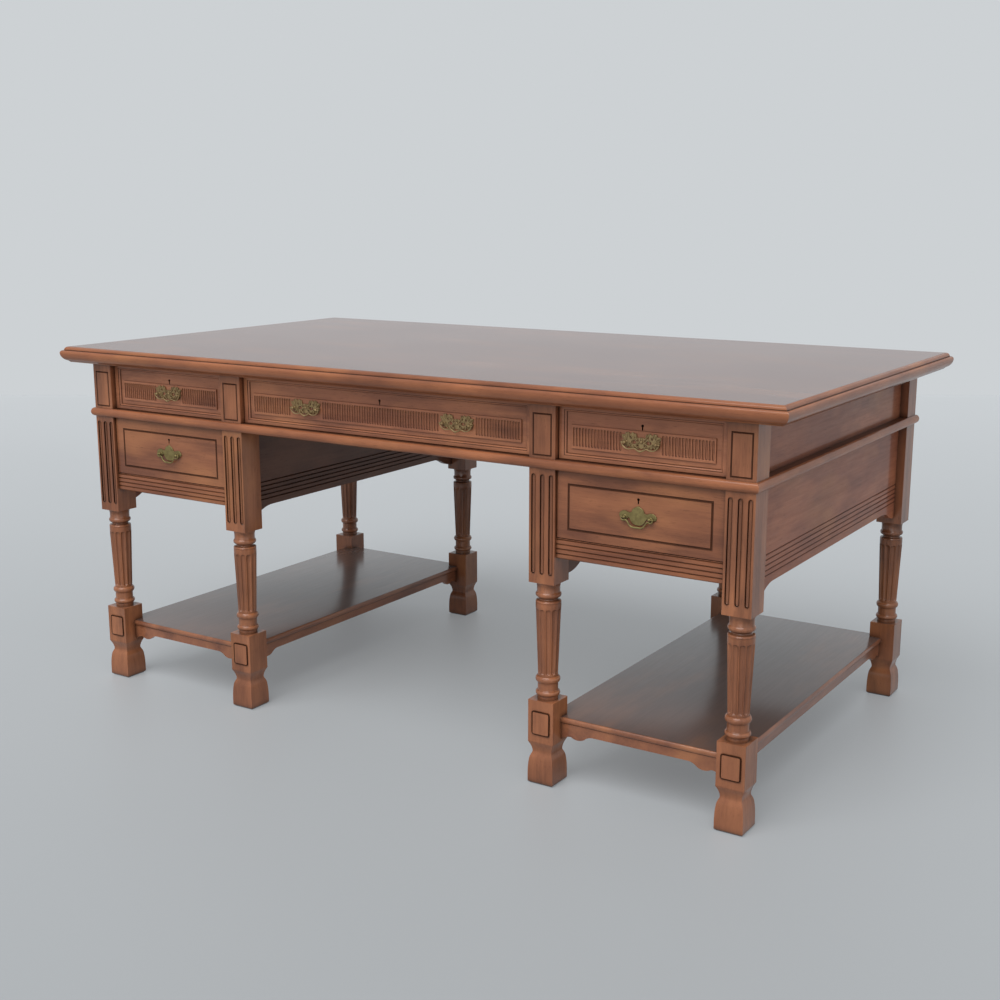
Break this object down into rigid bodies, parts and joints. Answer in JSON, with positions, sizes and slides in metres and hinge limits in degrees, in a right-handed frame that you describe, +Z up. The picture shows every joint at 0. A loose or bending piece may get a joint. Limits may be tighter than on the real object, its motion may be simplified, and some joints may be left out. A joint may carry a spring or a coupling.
{
  "type": "two-pedestal writing desk",
  "caption": "Wooden writing desk with two open pedestals on turned, fluted legs, low shelves, sliding drawers with bail handles and a moulded top.",
  "frame": {"origin": "on the floor, under the middle of the desk", "axes": "+X along the front to the sitter's right, +Y from front to back, +Z up"},
  "size_m": [1.7316, 0.9682, 0.775],
  "materials": {
    "polished_hardwood": "reddish-brown hardwood with a semi-gloss varnish",
    "plain_secondary_wood": "plain waxed boards inside the carcass",
    "aged_brass": "cast brass with a dull aged surface"
  },
  "bodies": {
    "desk": {"back_panel_left": "plain_secondary_wood", "back_panel_right": "plain_secondary_wood", "drawer_rail_left": "polished_hardwood", "drawer_rail_right": "polished_hardwood", "dust_board": "plain_secondary_wood", "frieze_back": "plain_secondary_wood", "frieze_end_left": "polished_hardwood", "frieze_end_right": "polished_hardwood", "frieze_partition_left": "plain_secondary_wood", "frieze_partition_right": "plain_secondary_wood", "frieze_post_left_back": "polished_hardwood", "frieze_post_left_inner": "polished_hardwood", "frieze_post_left_outer": "polished_hardwood", "frieze_post_right_back": "polished_hardwood", "frieze_post_right_inner": "polished_hardwood", "frieze_post_right_outer": "polished_hardwood", "knee_panel_left": "polished_hardwood", "knee_panel_right": "polished_hardwood", "leg_left_inner_back": "polished_hardwood", "leg_left_inner_front": "polished_hardwood", "leg_left_outer_back": "polished_hardwood", "leg_left_outer_front": "polished_hardwood", "leg_right_inner_back": "polished_hardwood", "leg_right_inner_front": "polished_hardwood", "leg_right_outer_back": "polished_hardwood", "leg_right_outer_front": "polished_hardwood", "pedestal_floor_left": "plain_secondary_wood", "pedestal_floor_right": "plain_secondary_wood", "shelf_left": "polished_hardwood", "shelf_right": "polished_hardwood", "side_panel_left": "polished_hardwood", "side_panel_right": "polished_hardwood", "top_board": "polished_hardwood", "waist_rail_back": "polished_hardwood", "waist_rail_front": "polished_hardwood", "waist_rail_left": "polished_hardwood", "waist_rail_right": "polished_hardwood"},
    "frieze_drawer_left": {"frieze_drawer_left_front": "polished_hardwood", "frieze_drawer_left_box": "plain_secondary_wood", "frieze_drawer_left_handle_plate": "aged_brass"},
    "frieze_drawer_right": {"frieze_drawer_right_front": "polished_hardwood", "frieze_drawer_right_box": "plain_secondary_wood", "frieze_drawer_right_handle_plate": "aged_brass"},
    "frieze_drawer_centre": {"frieze_drawer_centre_front": "polished_hardwood", "frieze_drawer_centre_box": "plain_secondary_wood", "frieze_drawer_centre_left_handle_plate": "aged_brass", "frieze_drawer_centre_right_handle_plate": "aged_brass"},
    "lower_drawer_left": {"lower_drawer_left_front": "polished_hardwood", "lower_drawer_left_box": "plain_secondary_wood", "lower_drawer_left_handle_plate": "aged_brass"},
    "lower_drawer_right": {"lower_drawer_right_front": "polished_hardwood", "lower_drawer_right_box": "plain_secondary_wood", "lower_drawer_right_handle_plate": "aged_brass"},
    "frieze_drawer_left_bail": {"frieze_drawer_left_bail": "aged_brass"},
    "frieze_drawer_right_bail": {"frieze_drawer_right_bail": "aged_brass"},
    "frieze_drawer_centre_left_bail": {"frieze_drawer_centre_left_bail": "aged_brass"},
    "frieze_drawer_centre_right_bail": {"frieze_drawer_centre_right_bail": "aged_brass"},
    "lower_drawer_left_bail": {"lower_drawer_left_bail": "aged_brass"},
    "lower_drawer_right_bail": {"lower_drawer_right_bail": "aged_brass"}
  },
  "joints": [
    {"name": "frieze_drawer_left_slide", "type": "slide", "parent": "desk", "child": "frieze_drawer_left", "axis": [0, -1, 0], "range_m": [0, 0.42]},
    {"name": "frieze_drawer_right_slide", "type": "slide", "parent": "desk", "child": "frieze_drawer_right", "axis": [0, -1, 0], "range_m": [0, 0.42]},
    {"name": "frieze_drawer_centre_slide", "type": "slide", "parent": "desk", "child": "frieze_drawer_centre", "axis": [0, -1, 0], "range_m": [0, 0.42]},
    {"name": "lower_drawer_left_slide", "type": "slide", "parent": "desk", "child": "lower_drawer_left", "axis": [0, -1, 0], "range_m": [0, 0.42]},
    {"name": "lower_drawer_right_slide", "type": "slide", "parent": "desk", "child": "lower_drawer_right", "axis": [0, -1, 0], "range_m": [0, 0.42]},
    {"name": "frieze_drawer_left_bail_hinge", "type": "hinge", "parent": "frieze_drawer_left", "child": "frieze_drawer_left_bail", "pos_m": [-0.5782, -0.4395, 0.682], "axis": [-1, 0, 0], "range_deg": [0, 85]},
    {"name": "frieze_drawer_right_bail_hinge", "type": "hinge", "parent": "frieze_drawer_right", "child": "frieze_drawer_right_bail", "pos_m": [0.5782, -0.4395, 0.682], "axis": [-1, 0, 0], "range_deg": [0, 85]},
    {"name": "frieze_drawer_centre_left_bail_hinge", "type": "hinge", "parent": "frieze_drawer_centre", "child": "frieze_drawer_centre_left_bail", "pos_m": [-0.187, -0.4395, 0.682], "axis": [-1, 0, 0], "range_deg": [0, 85]},
    {"name": "frieze_drawer_centre_right_bail_hinge", "type": "hinge", "parent": "frieze_drawer_centre", "child": "frieze_drawer_centre_right_bail", "pos_m": [0.187, -0.4395, 0.682], "axis": [-1, 0, 0], "range_deg": [0, 85]},
    {"name": "lower_drawer_left_bail_hinge", "type": "hinge", "parent": "lower_drawer_left", "child": "lower_drawer_left_bail", "pos_m": [-0.5782, -0.4465, 0.5495], "axis": [-1, 0, 0], "range_deg": [0, 85]},
    {"name": "lower_drawer_right_bail_hinge", "type": "hinge", "parent": "lower_drawer_right", "child": "lower_drawer_right_bail", "pos_m": [0.5782, -0.4465, 0.5495], "axis": [-1, 0, 0], "range_deg": [0, 85]}
  ]
}
